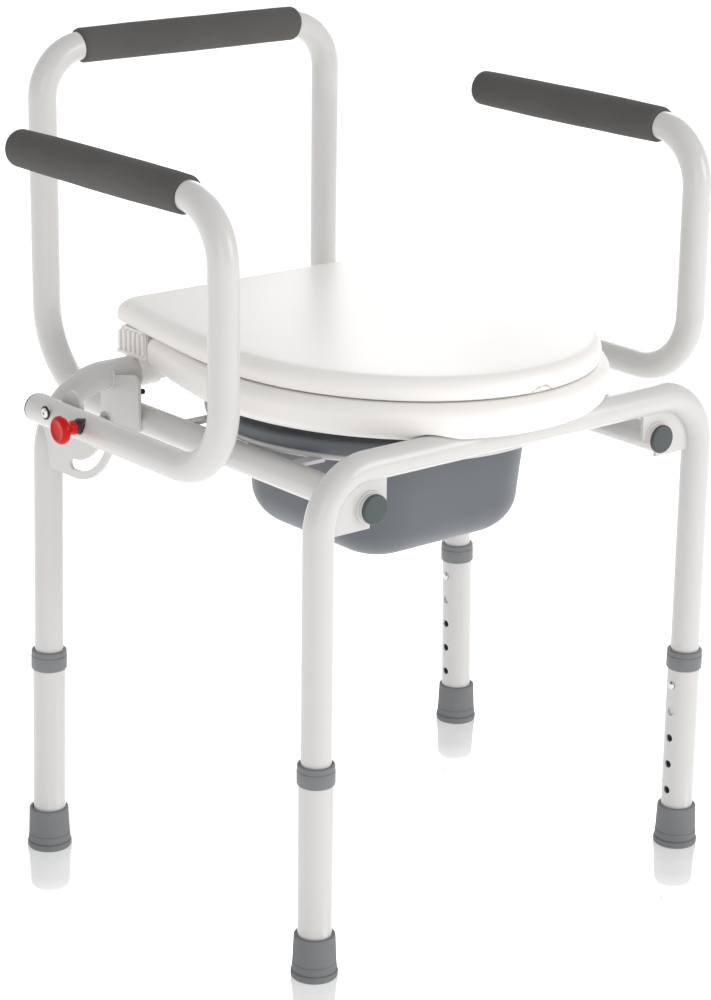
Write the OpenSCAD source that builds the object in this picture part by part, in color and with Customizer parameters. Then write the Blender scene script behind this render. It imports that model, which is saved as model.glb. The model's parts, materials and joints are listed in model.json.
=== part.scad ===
// Bedside commode chair: tubular steel frame, telescopic legs, drop arms, hinged seat and lid, lift-out pail.
// Millimetres. X is across the chair, -Y is the front, Z is up from the floor.

/* [Frame] */
// Outside diameter of every frame tube
tube_d = 25.4; // [22:0.1:28]
// Wall of every frame tube
tube_wall = 1.5; // [1:0.1:2.5]
// Half the distance between the front leg axes
front_half = 210.8; // [190:0.1:230]
// Half the distance between the rear leg axes, at the floor
rear_half = 244.8; // [236:0.1:256]
// Inward lean of the rear legs, in degrees
rear_splay = 1.2; // [0:0.1:2]
// Distance from the front leg plane to the rear leg plane
leg_depth = 343; // [330:1:360]
// Height of both crossbars' axes
crossbar_z = 430; // [420:1:440]
// Bend radius at the top of the front legs
front_bend = 48; // [40:1:60]
// Bend radius at the top of the rear legs
rear_bend = 60; // [50:1:66]

/* [Rails and backrest] */
// Half the distance between the side rails' axes
rail_half = 160; // [155:1:165]
// Height of the side rails' axes
rail_z = 395.3; // [390:0.1:398]
// Bend radius where a rail turns up into the backrest
rail_bend = 75; // [60:1:80]
// Distance from the front leg plane to the backrest plane
back_depth = 459.4; // [450:0.1:470]
// Height of the backrest's top bar axis
back_z = 698; // [660:1:730]
// Bend radius at the backrest's top corners
back_bend = 45; // [35:1:55]

/* [Arms] */
// Distance of each arm's plane from the centre plane
arm_x = 258.4; // [256:0.1:270]
// Height of the arm's lower bar axis, and of its pivot
arm_low_z = 418.5; // [415:0.5:421]
// Height of the armrest axis
arm_top_z = 640; // [610:1:670]
// Distance from the front leg plane to the arm's post
post_depth = 59.5; // [50:0.5:70]
// Bend radius under the arm's post
arm_low_bend = 60; // [50:1:70]
// Bend radius above the arm's post
arm_top_bend = 50; // [40:1:60]
// Distance from the front leg plane to the arm's pivot
pivot_depth = 293.5; // [290:0.5:300]
// Distance from the pivot to the locking pin
lock_reach = 50; // [48:0.5:52]
// Height of the pivot above the lower bar's axis
pivot_rise = 5; // [0:0.5:5.5]

/* [Legs] */
// Pitch of the height holes
hole_pitch = 25.4; // [20:0.1:25.4]
// Height of the top hole above the floor
top_hole_z = 156.1; // [150:0.1:160]
// Height of the underside of the grey collar
collar_z = 171; // [168:1:174]

/* [Seat] */
// Half the lid's greatest width
lid_half = 172.5; // [160:0.5:174]
// How far the seat ring stands out from the lid
ring_proud = 8; // [5:1:9]
// Height of the seat ring's flat underside
ring_z = 444.5; // [444:0.5:446]
// Height of the lower edge of the ring's rim
rim_z = 437.5; // [436:0.5:442]
// Thickness of the seat ring
ring_t = 23; // [20:1:24]
// Thickness of the lid
lid_t = 19; // [16:1:21]

/* [Pail] */
// Half the pail's width under its flange
pail_half = 107; // [95:1:110]
// Height of the pail's underside
pail_z = 302; // [290:1:310]

/* [Hidden] */
$fn = 64;

white_paint = [0.93, 0.92, 0.90];
seat_white = [0.95, 0.93, 0.90];
foam_grey = [0.37, 0.36, 0.35];
cap_grey = [0.33, 0.38, 0.38];
trim_grey = [0.49, 0.50, 0.51];
pail_grey = [0.45, 0.48, 0.50];
knob_red = [0.80, 0.03, 0.03];
steel_grey = [0.75, 0.75, 0.76];
near_black = [0.06, 0.06, 0.06];

left = -1;
right = 1;
front = 0;
rear = 1;
eps = 0.05;
// Straight runs start this far inside a bend, and are this much thinner, so that the two join cleanly.
weld_lap = 0.5;
weld_step = 0.01;

tube_r = tube_d / 2;
bore_r = tube_r - tube_wall;

// The chair is centred on the origin between the ring's front edge and the back grip.
grip_r = 15.5;
arm_grip_r = 16.3;
lid_nose = 26;
ring_nose = lid_nose + ring_proud;
front_y = -(back_depth + grip_r - ring_nose) / 2;
rear_y = front_y + leg_depth;
back_y = front_y + back_depth;
pivot_y = front_y + pivot_depth;
post_y = front_y + post_depth;
pivot_z = arm_low_z + pivot_rise;
crossbar_top = crossbar_z + tube_r;

rail_end_y = front_y - 6;
back_grip_half = 121;
arm_grip_rear = 344;
arm_grip_front = 105;
arm_tail = 32;

leg_gap = 0.05;
leg_r = tube_r + leg_gap + 1.55;
leg_foot_z = 12;
leg_top_z = collar_z + 16;
inner_end_z = top_hole_z - 1.5 * hole_pitch;
hole_r = 3.6;
button_r = 3.4;
collar_r = 15.8;
collar_h = 18;
foot_r = 19.7;
foot_top_r = 17.4;
foot_h = 38;

slot_half = 4.9;
plate_t = 3;
plate_out_x = arm_x - tube_r - 1.2;
pivot_r = 4;
pin_gap = 0.05;
lock_r = 4.3;

lid_gap = 1.2;
ring_top = ring_z + ring_t;
lid_z = ring_top + lid_gap;
lid_mid = 172;
lid_back = 380;
lid_back_half = 146;
lid_corner = 18;
ring_back = 323;
rim_t = 10;
hole_half_x = 112;
hole_half_y = 138;
shell_t = 3;
hinge_pin_r = 4;
hinge_y = front_y + 356;
hinge_z = lid_z - 12;
knuckle_r = 10.8;

pail_y = front_y + 172;
hoop_r = 153;
hoop_wire_r = 3;
hoop_z = 409.5;
flange_r = 157;
flange_z = hoop_z + hoop_wire_r + 0.3;
flange_h = 11;
pail_corner = 60;
pail_taper = 10;
pail_fillet_in = 44;
pail_fillet_up = 38;
pail_wall = 2.5;

// ---------- shared shapes ----------

function half_width(end) = end == front ? front_half : rear_half;
function lean(end) = end == front ? 0 : rear_splay;
function leg_y(end) = end == front ? front_y : rear_y;

// A straight round bar between two points.
module bar(a, b, r) {
    d = b - a;
    long = norm(d);
    translate(a) rotate([0, acos(d.z / long), atan2(d.y, d.x)]) cylinder(h = long, r = r);
}

// A quarter-like bend in the XZ plane, from angle a0 to a1 measured up from +X.
module bend_xz(centre, bend_radius, r, a0, a1) {
    translate(centre) rotate([90, 0, 0])
        rotate_extrude(angle = a1 - a0, start = a0) translate([bend_radius, 0]) circle(r);
}

// The same in the YZ plane, from angle a0 to a1 measured up from +Y.
module bend_yz(centre, bend_radius, r, a0, a1) {
    translate(centre) rotate([90, 0, 90])
        rotate_extrude(angle = a1 - a0, start = a0) translate([bend_radius, 0]) circle(r);
}

module on_both_sides() {
    children();
    mirror([1, 0, 0]) children();
}

// Everything inside is drawn on the right, and mirrored for the left.
module on_side(side) {
    if (side == right) children();
    else mirror([1, 0, 0]) children();
}

// Puts children on the leg's axis, with Z along it and the floor point as origin, on the right.
module along_leg(end) {
    translate([half_width(end), leg_y(end), 0]) rotate([0, -lean(end), 0]) children();
}

// ---------- frame ----------

// An upside-down U: two legs, two bends and a crossbar, as one bar of radius r.
module leg_hoop(end, bend_radius, r, spare = 0) {
    a = lean(end);
    centre_z = crossbar_z - bend_radius;
    centre_x = half_width(end) - centre_z * tan(a) - bend_radius / cos(a);
    top_z = centre_z + bend_radius * sin(a) + weld_lap;
    low_z = inner_end_z - spare;
    reach = centre_x + weld_lap;
    bar([-reach, leg_y(end), crossbar_z], [reach, leg_y(end), crossbar_z], r - weld_step);
    on_both_sides() {
        bend_xz([centre_x, leg_y(end), centre_z], bend_radius, r, a, 90);
        bar([half_width(end) - top_z * tan(a), leg_y(end), top_z],
            [half_width(end) - low_z * tan(a), leg_y(end), low_z], r - weld_step);
    }
}

// The hole that a snap button comes through, on the inner side of the leg.
module button_hole(end, z, r, length) {
    along_leg(end) translate([-length, 0, z]) rotate([0, 90, 0]) cylinder(h = length, r = r);
}

module front_frame() {
    color(white_paint) difference() {
        leg_hoop(front, front_bend, tube_r);
        leg_hoop(front, front_bend, bore_r, 1);
        on_both_sides() button_hole(front, top_hole_z, hole_r, 20);
    }
}

module rear_frame() {
    color(white_paint) difference() {
        leg_hoop(rear, rear_bend, tube_r);
        leg_hoop(rear, rear_bend, bore_r, 1);
        on_both_sides() button_hole(rear, top_hole_z, hole_r, 20);
    }
}

// The rails and the backrest, one bar of radius r bent four times.
module back_path(r, spare = 0) {
    turn_y = back_y - rail_bend;
    turn_z = rail_z + rail_bend;
    top_turn_z = back_z - back_bend;
    top_turn_x = rail_half - back_bend;
    bar([-top_turn_x, back_y, back_z], [top_turn_x, back_y, back_z], r);
    on_both_sides() {
        bar([rail_half, rail_end_y - spare, rail_z], [rail_half, turn_y, rail_z], r);
        bend_yz([rail_half, turn_y, turn_z], rail_bend, r, -90, 0);
        bar([rail_half, back_y, turn_z], [rail_half, back_y, top_turn_z], r);
        bend_xz([top_turn_x, back_y, top_turn_z], back_bend, r, 0, 90);
    }
}

module back_frame() {
    color(white_paint) difference() {
        back_path(tube_r);
        back_path(bore_r, 1);
    }
}

// Flat plates that fill the inner corners of the front frame and hold the rails.
module front_gussets() {
    inner_x = 143;
    low_z = 378;
    color(white_paint) difference() {
        on_both_sides() translate([inner_x, front_y - plate_t / 2, low_z])
            cube([front_half - inner_x, plate_t, crossbar_z - low_z]);
        leg_hoop(front, front_bend, tube_r);
        on_both_sides() bar([rail_half, front_y - 5, rail_z], [rail_half, front_y + 5, rail_z], tube_r);
        // the rail's end sits in the open lower corner
        on_both_sides() translate([inner_x - 1, front_y - 3, low_z - 1])
            cube([rail_half - inner_x + 1, 6, rail_z - low_z + 1]);
        // the part above the bend is cut away
        on_both_sides() difference() {
            translate([front_half - front_bend, front_y - 3, crossbar_z - front_bend]) cube([60, 6, 60]);
            translate([front_half - front_bend, front_y + 4, crossbar_z - front_bend])
                rotate([90, 0, 0]) cylinder(h = 8, r = front_bend);
        }
    }
}

// Upright plates that carry the rear crossbar on the rails.
module saddle_brackets() {
    plate_x = rail_half + tube_r;
    nose_y = rear_y - 49;
    corner = 10;
    nose_z = 438;
    heel_z = 428;
    color(white_paint) difference() {
        on_both_sides() translate([plate_x, 0, 0]) rotate([90, 0, 90]) linear_extrude(plate_t) union() {
            polygon([[nose_y, rail_z - 6], [nose_y + 58, rail_z - 6], [nose_y + 58, heel_z],
                [nose_y + corner, nose_z], [nose_y, nose_z - corner]]);
            translate([nose_y + corner, nose_z - corner]) circle(corner);
        }
        leg_hoop(rear, rear_bend, tube_r);
        on_both_sides() saddle_screw(2.6);
    }
}

module saddle_screw(r) {
    bar([rail_half + 4, rear_y - 41, 422.4], [rail_half + tube_r + plate_t + 0.2, rear_y - 41, 422.4], r);
}

// A screw that is flush outside and carries a nut inside.
module bracket_screws() {
    color(near_black) on_both_sides() {
        saddle_screw(2.5);
        translate([rail_half + tube_r - 4, rear_y - 41, 422.4]) rotate([0, 90, 0]) cylinder(h = 4, r = 3.4, $fn = 6);
    }
}

// Quadrant plates on the rear legs. The arm turns on the boss, and its locking pin runs in the arc.
module latch_plates() {
    outer_r = 62;
    low_z = pivot_z - outer_r;
    color(white_paint) difference() {
        on_both_sides() {
            translate([plate_out_x - plate_t, 0, 0]) rotate([90, 0, 90]) linear_extrude(plate_t) union() {
                intersection() {
                    translate([pivot_y, pivot_z]) circle(outer_r);
                    translate([pivot_y - outer_r, low_z]) square([outer_r, outer_r]);
                }
                translate([pivot_y, low_z]) square([leg_depth - pivot_depth, outer_r + 1]);
                translate([pivot_y, pivot_z]) circle(14.5);
                translate([pivot_y - lock_reach, pivot_z]) circle(8.4);
            }
            translate([plate_out_x - eps, pivot_y, pivot_z]) rotate([0, 90, 0]) cylinder(h = 0.8, r = 14);
        }
        leg_hoop(rear, rear_bend, tube_r);
        on_both_sides() {
            translate([0, pivot_y, pivot_z]) rotate([0, 90, 0]) cylinder(h = 300, r = pivot_r + pin_gap);
            arc_slot();
        }
    }
}

module arc_slot() {
    at_x = plate_out_x - plate_t - 1;
    deep = plate_t + 2;
    translate([at_x, pivot_y, pivot_z]) rotate([90, 0, 90]) {
        rotate_extrude(angle = 90, start = 180)
            translate([lock_reach - slot_half, 0]) square([2 * slot_half, deep]);
        translate([-lock_reach, 0, 0]) cylinder(h = deep, r = slot_half);
        translate([0, -lock_reach, 0]) cylinder(h = deep, r = slot_half);
    }
}

// A wire ring on four tabs between the rails. The pail's flange rests on it.
module pail_hoop() {
    tab_y = 74;
    tab_x = sqrt(hoop_r * hoop_r - tab_y * tab_y);
    color(white_paint) difference() {
        union() {
            translate([0, pail_y, hoop_z]) rotate_extrude() translate([hoop_r, 0]) circle(hoop_wire_r);
            on_both_sides() for (s = [-1, 1])
                translate([tab_x - 3, pail_y + s * tab_y - 6, hoop_z - hoop_wire_r - 2])
                    cube([rail_half - tab_x, 12, 3]);
        }
        back_path(tube_r);
    }
}

module rail_end_caps() {
    color(cap_grey) on_both_sides() {
        bar([rail_half, rail_end_y - 3, rail_z], [rail_half, rail_end_y, rail_z], tube_r - 0.4);
        bar([rail_half, rail_end_y - 4.2, rail_z], [rail_half, rail_end_y - 3, rail_z], tube_r - 2);
        bar([rail_half, rail_end_y, rail_z], [rail_half, rail_end_y + 12, rail_z], bore_r);
    }
}

module back_grip() {
    color(foam_grey) difference() {
        intersection() {
            back_path(grip_r);
            translate([-back_grip_half, back_y - 30, back_z - 30]) cube([2 * back_grip_half, 60, 60]);
        }
        back_path(tube_r + 0.02);
    }
}

// ---------- seat ----------

// The blocks that clamp the hinge to the rear crossbar.
module hinge_blocks() {
    block_x = 124;
    block_w = 24;
    color(seat_white) difference() {
        on_both_sides() translate([block_x, 0, 0]) rotate([90, 0, 90]) linear_extrude(block_w) union() {
            translate([hinge_y, hinge_z]) circle(knuckle_r);
            translate([rear_y - 17, crossbar_z - 4]) square([34, hinge_z - crossbar_z + 2]);
            translate([rear_y - 17, hinge_z - 8]) square([28, 14]);
        }
        leg_hoop(rear, rear_bend, tube_r);
        on_both_sides() hinge_hole();
        on_both_sides() for (i = [0:2])
            translate([block_x + 4 + 7 * i, rear_y - 18, crossbar_z + 12]) cube([3, 3, 22]);
        // grooves in the outer side, between upright ribs
        on_both_sides() for (i = [0:3])
            translate([block_x + block_w - 1.9, rear_y - 13 + 6.5 * i, crossbar_z + 15]) cube([3, 3.4, 12]);
    }
}

module hinge_hole() {
    bar([60, hinge_y, hinge_z], [146, hinge_y, hinge_z], hinge_pin_r + pin_gap);
}

module hinge_pins() {
    color(steel_grey) on_both_sides() bar([82, hinge_y, hinge_z], [145.6, hinge_y, hinge_z], hinge_pin_r);
}

// Outline of the lid grown by d: a half-ellipse nose, slightly narrowing sides and a straight back.
module seat_outline(d, back) {
    nose_steps = 48;
    ease = 1.35;
    half = lid_half + d;
    reach = lid_mid + lid_nose + d;
    back_half = lid_back_half + d;
    corner = lid_corner;
    nose = [for (i = [0:nose_steps]) let (t = 180 * i / nose_steps, c = cos(t), s = sin(t))
        [half * c, lid_mid - reach * s]];
    side_steps = 10;
    side = [for (i = [1:side_steps]) let (t = i / side_steps)
        [half - (half - back_half) * pow(t, ease), lid_mid + (back - corner - lid_mid) * t]];
    turn = [for (i = [1:10]) let (t = 9 * i)
        [back_half - corner + corner * cos(t), back - corner + corner * sin(t)]];
    rear_right = concat(side, turn);
    rear_left = [for (i = [len(rear_right) - 1:-1:0]) [-rear_right[i].x, rear_right[i].y]];
    translate([0, front_y]) polygon(concat([for (i = [nose_steps:-1:0]) nose[i]], rear_right, rear_left));
}

module hole_outline(d) {
    translate([0, front_y + 158]) scale([(hole_half_x + d) / 100, (hole_half_y + d) / 100]) circle(100);
}

module seat_ring() {
    color(seat_white) difference() {
        union() {
            difference() {
                translate([0, 0, ring_z]) linear_extrude(ring_t) difference() {
                    seat_outline(ring_proud, ring_back);
                    hole_outline(0);
                }
                translate([0, 0, ring_z + shell_t]) linear_extrude(ring_t - 2 * shell_t) difference() {
                    seat_outline(ring_proud - shell_t, ring_back - shell_t);
                    hole_outline(shell_t);
                }
            }
            // the rim hangs lower than the flat underside, and is open at the rear for the pail
            translate([0, 0, rim_z]) linear_extrude(ring_z - rim_z + 1) difference() {
                seat_outline(ring_proud, ring_back);
                seat_outline(ring_proud - rim_t, ring_back + 1);
            }
            on_both_sides() knuckle(102.5, 21, front_y + ring_back, ring_z + 1, ring_top);
        }
        on_both_sides() hinge_hole();
        // channel over the front crossbar
        bar([-200, front_y, crossbar_z], [200, front_y, crossbar_z], tube_r + 1.3);
    }
}

// A hinge ear: a round end on the pin, and an arm that runs forward to from_y between two heights.
module knuckle(x, w, from_y, low, high) {
    translate([x, 0, 0]) rotate([90, 0, 90]) linear_extrude(w) union() {
        translate([hinge_y, hinge_z]) circle(knuckle_r - 0.3);
        translate([from_y - 2, low + 1]) square([hinge_y - from_y + 2, high - low - 1.2]);
    }
}

// Rubber pads under the ring, over the front crossbar.
module seat_bumpers() {
    color(trim_grey) on_both_sides()
        translate([62, front_y, crossbar_top + 0.3]) cylinder(h = ring_z - crossbar_top - 0.3, r = 9);
}

module lid() {
    color(seat_white) difference() {
        union() {
            difference() {
                translate([0, 0, lid_z]) linear_extrude(lid_t) seat_outline(0, lid_back);
                translate([0, 0, lid_z + shell_t]) linear_extrude(lid_t - 2 * shell_t) difference() {
                    seat_outline(-shell_t, lid_back - shell_t);
                    // solid behind the finger notch
                    translate([0, front_y - lid_nose]) scale([1, 0.55]) circle(16);
                }
            }
            on_both_sides() lid_ear();
        }
        on_both_sides() hinge_hole();
        // finger notch in the front edge
        translate([0, front_y - lid_nose, lid_z - 1]) scale([1, 0.45, 1]) cylinder(h = 6, r = 12);
        on_both_sides() lid_pads(0.02);
    }
}

module lid_ear() {
    translate([83.5, 0, 0]) rotate([90, 0, 90]) linear_extrude(17.5) union() {
        translate([hinge_y, hinge_z]) circle(knuckle_r - 0.3);
        translate([hinge_y - knuckle_r + 0.3, hinge_z]) square([2 * knuckle_r - 0.6, lid_z - hinge_z + 1]);
    }
}

module lid_pads(d) {
    for (y = [60, 255]) translate([y == 60 ? 118 : 140, front_y + y, ring_top + 0.3])
        cylinder(h = lid_gap - 0.3 + 1.5 + d, r = 7 + d);
}

module lid_bumpers() {
    color(trim_grey) on_both_sides() lid_pads(0);
}

// ---------- pail ----------

// The tub's body grown by d: tapered sides, then a large round edge down to the bottom.
module pail_body(d, low, high) {
    turn_z = pail_z + pail_fillet_up;
    hull() {
        pail_level(high - 0.5, d);
        pail_level(turn_z, d - pail_taper);
        for (t = [18:18:90])
            pail_level(turn_z - (turn_z - low) * sin(t), d - pail_taper - pail_fillet_in * (1 - cos(t)));
    }
}

// A thin rounded-square slice of the tub at height z, grown by d.
module pail_level(z, d) {
    grow = pail_half - pail_corner;
    translate([0, pail_y, z]) for (sx = [-1, 1], sy = [-1, 1])
        translate([sx * grow, sy * grow, 0]) cylinder(h = 0.5, r = pail_corner + d, $fn = 48);
}

module pail() {
    flange_top = flange_z + flange_h;
    color(pail_grey) difference() {
        union() {
            pail_body(0, pail_z, flange_top - 1);
            translate([0, pail_y, flange_top - 3]) cylinder(h = 3, r = flange_r);
            difference() {
                translate([0, pail_y, flange_z]) cylinder(h = flange_h, r = flange_r);
                translate([0, pail_y, flange_z - 1]) cylinder(h = flange_h, r = flange_r - 3);
            }
        }
        pail_body(-pail_wall, pail_z + pail_wall, flange_top + 1);
    }
}

// ---------- legs ----------

module leg_tube(end, side) {
    color(white_paint) on_side(side) difference() {
        along_leg(end) translate([0, 0, leg_foot_z]) cylinder(h = leg_top_z - leg_foot_z, r = leg_r);
        along_leg(end) translate([0, 0, leg_foot_z - 1])
            cylinder(h = leg_top_z - leg_foot_z + 2, r = tube_r + leg_gap);
        for (i = [0:4]) button_hole(end, top_hole_z - i * hole_pitch, hole_r, 20);
    }
}

module collar(end, side) {
    color(trim_grey) on_side(side) along_leg(end) translate([0, 0, collar_z]) difference() {
        cylinder(h = collar_h, r = collar_r);
        translate([0, 0, -1]) cylinder(h = 17, r = leg_r + 0.02);
        cylinder(h = collar_h + 1, r = tube_r + 0.3);
    }
}

module foot(end, side) {
    color(trim_grey) on_side(side) difference() {
        translate([half_width(end), leg_y(end), 0]) union() {
            cylinder(h = 6, r = foot_r);
            translate([0, 0, 6]) cylinder(h = foot_h - 6, r1 = foot_r - 0.6, r2 = foot_top_r);
        }
        along_leg(end) translate([0, 0, leg_foot_z]) cylinder(h = foot_h, r = leg_r + 0.02);
    }
}

// A bent leaf spring inside the upper tube. Its button comes out through the tube and the leg.
module snap_clip(end, side) {
    leaf_x = bore_r - 2.2;
    color(steel_grey) on_side(side) along_leg(end) translate([0, 0, top_hole_z]) {
        rotate([0, -90, 0]) {
            translate([0, 0, leaf_x - 1]) cylinder(h = leg_r + 2 - leaf_x, r = button_r);
            translate([0, 0, leg_r + 1]) cylinder(h = 1.2, r1 = button_r, r2 = button_r - 1.2);
        }
        translate([-leaf_x, -4, -6]) cube([1, 8, 37]);
        translate([leaf_x - 1, -4, -2]) cube([1, 8, 33]);
        translate([-leaf_x, -4, 30]) cube([2 * leaf_x, 8, 1]);
    }
}

// ---------- arms ----------

module arm_path(r, spare = 0) {
    low_turn = [arm_x, post_y + arm_low_bend, arm_low_z + arm_low_bend];
    top_turn = [arm_x, post_y + arm_top_bend, arm_top_z - arm_top_bend];
    bar([arm_x, low_turn.y, arm_low_z], [arm_x, pivot_y + arm_tail + spare, arm_low_z], r);
    bend_yz(low_turn, arm_low_bend, r, 180, 270);
    bar([arm_x, post_y, low_turn.z], [arm_x, post_y, top_turn.z], r);
    bend_yz(top_turn, arm_top_bend, r, 90, 180);
    bar([arm_x, top_turn.y, arm_top_z], [arm_x, front_y + arm_grip_rear - 5 + spare, arm_top_z], r);
}

module across_arm(y, from_x, to_x, r) {
    bar([from_x, y, pivot_z], [to_x, y, pivot_z], r);
}

lock_y = pivot_y - lock_reach;

module arm_tube(side) {
    color(white_paint) on_side(side) difference() {
        arm_path(tube_r);
        arm_path(bore_r, 1);
        across_arm(pivot_y, arm_x - 20, arm_x + 20, pivot_r + 0.02);
        // a flat seat for the bolt's head
        across_arm(pivot_y, arm_x + tube_r - 0.92, arm_x + 20, 5.54);
        across_arm(lock_y, arm_x - 20, arm_x, lock_r + 0.3);
        across_arm(lock_y, arm_x, arm_x + 20, 6.02);
    }
}

module arm_grip(side) {
    wrap = asin((post_depth + arm_top_bend - arm_grip_front) / arm_top_bend);
    turn = [arm_x, post_y + arm_top_bend, arm_top_z - arm_top_bend];
    end_y = front_y + arm_grip_rear;
    color(foam_grey) on_side(side) difference() {
        union() {
            bar([arm_x, turn.y, arm_top_z], [arm_x, end_y - 3, arm_top_z], arm_grip_r);
            bar([arm_x, end_y - 3, arm_top_z], [arm_x, end_y, arm_top_z], arm_grip_r - 2.5);
            bend_yz(turn, arm_top_bend, arm_grip_r, 90, 90 + wrap);
        }
        bar([arm_x, turn.y, arm_top_z], [arm_x, end_y - 5, arm_top_z], tube_r + 0.02);
        bend_yz(turn, arm_top_bend, tube_r + 0.02, 90, 94 + wrap);
    }
}

module arm_cap(side) {
    end_y = pivot_y + arm_tail;
    color(cap_grey) on_side(side) {
        bar([arm_x, end_y, arm_low_z], [arm_x, end_y + 2.2, arm_low_z], tube_r - 0.2);
        bar([arm_x, end_y - 10, arm_low_z], [arm_x, end_y, arm_low_z], bore_r);
    }
}

// The bolt that the arm turns on, with its nut behind the latch plate.
module arm_pivot(side) {
    inner_x = plate_out_x - plate_t;
    color(steel_grey) on_side(side) {
        across_arm(pivot_y, inner_x - 7, arm_x + tube_r + 0.5, pivot_r);
        across_arm(pivot_y, arm_x + tube_r - 0.9, arm_x + tube_r + 2.2, 5.5);
        translate([inner_x - 6, pivot_y, pivot_z]) rotate([0, 90, 0]) cylinder(h = 5.6, r = 6.6, $fn = 6);
    }
}

module lock_housing(side) {
    color(near_black) on_side(side) difference() {
        union() {
            across_arm(lock_y, arm_x + 2, arm_x + tube_r + 4, 6);
            across_arm(lock_y, arm_x + tube_r + 0.3, arm_x + tube_r + 2.4, 7.2);
        }
        across_arm(lock_y, arm_x + 1, arm_x + tube_r + 5, lock_r - 1 + pin_gap);
        across_arm(lock_y, arm_x + 1, arm_x + 12, lock_r + 0.6);
    }
}

// The red knob, its stem and the steel-cored pin that runs in the latch plate.
module lock_knob(side) {
    seat_x = arm_x + tube_r + 4.3;
    color(knob_red) on_side(side) {
        across_arm(lock_y, plate_out_x - plate_t - 1.5, arm_x - 3, lock_r);
        across_arm(lock_y, arm_x - 3, seat_x, lock_r - 1);
        across_arm(lock_y, seat_x, seat_x + 7, 6);
        translate([seat_x + 7, lock_y, pivot_z]) rotate([0, 90, 0]) cylinder(h = 4, r1 = 7, r2 = 12);
        translate([seat_x + 11, lock_y, pivot_z]) rotate([0, 90, 0]) cylinder(h = 4.5, r = 12);
        translate([seat_x + 15.5, lock_y, pivot_z]) rotate([0, 90, 0]) cylinder(h = 2, r1 = 12, r2 = 9);
    }
}

// The coil that pushes the pin home, drawn as the sleeve that it fills.
module lock_spring(side) {
    color(steel_grey) on_side(side) difference() {
        across_arm(lock_y, arm_x - 2.9, arm_x + 11.8, lock_r + 0.4);
        across_arm(lock_y, arm_x - 4, arm_x + 13, lock_r - 0.9);
    }
}

front_frame();
rear_frame();
back_frame();
front_gussets();
saddle_brackets();
bracket_screws();
latch_plates();
pail_hoop();
rail_end_caps();
back_grip();
hinge_blocks();
hinge_pins();
seat_ring();
seat_bumpers();
lid();
lid_bumpers();
pail();
leg_tube(front, left);  // leg_front_left
leg_tube(front, right);  // leg_front_right
leg_tube(rear, left);  // leg_rear_left
leg_tube(rear, right);  // leg_rear_right
collar(front, left);  // collar_front_left
collar(front, right);  // collar_front_right
collar(rear, left);  // collar_rear_left
collar(rear, right);  // collar_rear_right
foot(front, left);  // foot_front_left
foot(front, right);  // foot_front_right
foot(rear, left);  // foot_rear_left
foot(rear, right);  // foot_rear_right
snap_clip(front, left);  // clip_front_left
snap_clip(front, right);  // clip_front_right
snap_clip(rear, left);  // clip_rear_left
snap_clip(rear, right);  // clip_rear_right
arm_tube(left);  // arm_left
arm_tube(right);  // arm_right
arm_grip(left);  // arm_grip_left
arm_grip(right);  // arm_grip_right
arm_cap(left);  // arm_cap_left
arm_cap(right);  // arm_cap_right
arm_pivot(left);  // arm_pivot_left
arm_pivot(right);  // arm_pivot_right
lock_housing(left);  // lock_housing_left
lock_housing(right);  // lock_housing_right
lock_knob(left);  // lock_knob_left
lock_knob(right);  // lock_knob_right
lock_spring(left);  // lock_spring_left
lock_spring(right);  // lock_spring_right
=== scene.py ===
"""Looks of the commode chair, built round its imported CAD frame. Metres, in the CAD frame."""

import json
import math

import bpy
from mathutils import Matrix, Vector


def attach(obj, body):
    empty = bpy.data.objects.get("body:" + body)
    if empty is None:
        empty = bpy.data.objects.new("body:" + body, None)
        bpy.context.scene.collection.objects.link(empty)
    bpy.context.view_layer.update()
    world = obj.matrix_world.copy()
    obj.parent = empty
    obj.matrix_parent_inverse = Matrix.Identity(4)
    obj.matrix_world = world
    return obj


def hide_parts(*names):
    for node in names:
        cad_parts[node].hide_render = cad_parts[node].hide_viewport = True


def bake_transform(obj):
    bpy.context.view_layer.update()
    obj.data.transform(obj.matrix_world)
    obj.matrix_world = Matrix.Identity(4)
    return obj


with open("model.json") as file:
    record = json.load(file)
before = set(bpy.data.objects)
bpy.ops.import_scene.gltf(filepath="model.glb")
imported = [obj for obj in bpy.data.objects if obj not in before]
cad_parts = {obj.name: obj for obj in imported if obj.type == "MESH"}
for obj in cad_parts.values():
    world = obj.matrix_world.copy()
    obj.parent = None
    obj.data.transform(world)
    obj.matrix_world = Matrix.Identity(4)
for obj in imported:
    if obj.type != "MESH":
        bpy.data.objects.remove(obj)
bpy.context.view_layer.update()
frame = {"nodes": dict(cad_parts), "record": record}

MM = 0.001
SIDES = (("left", -1), ("right", 1))
ENDS = ("front", "rear")

# ---------- sizes shared with the CAD source, in millimetres ----------

TUBE_R = 12.7
BORE_R = 11.2
LEG_R = 14.3
LEG_BORE = 12.75
LEG_FOOT_Z = 12.0
LEG_TOP_Z = 187.0
HOLE_PITCH = 25.4
HOLE_R = 3.6
FRONT_BEND = 48.0
REAR_BEND = 60.0
RAIL_BEND = 75.0
ARM_LOW_BEND = 60.0
LID_NOSE = 26.0
RING_PROUD = 8.0
FRONT_Y = -(459.4 + 15.5 - LID_NOSE - RING_PROUD) / 2
REAR_Y = FRONT_Y + 343
BACK_Y = FRONT_Y + 459.4
POST_Y = FRONT_Y + 59.5
PIVOT_Y = FRONT_Y + 293.5
LOCK_Y = PIVOT_Y - 50
SCREW_Y = REAR_Y - 41
SCREW_Z = 422.4
PIVOT_Z = 423.5
FRONT_HALF = 210.8
REAR_HALF = 244.8
REAR_LEAN = math.radians(1.2)
CROSSBAR_Z = 430.0
RAIL_HALF = 160.0
RAIL_Z = 395.3
BACK_Z = 698.0
BACK_BEND = 45.0
BACK_GRIP_HALF = 121.0
ARM_X = 258.4
ARM_LOW_Z = 418.5
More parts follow.
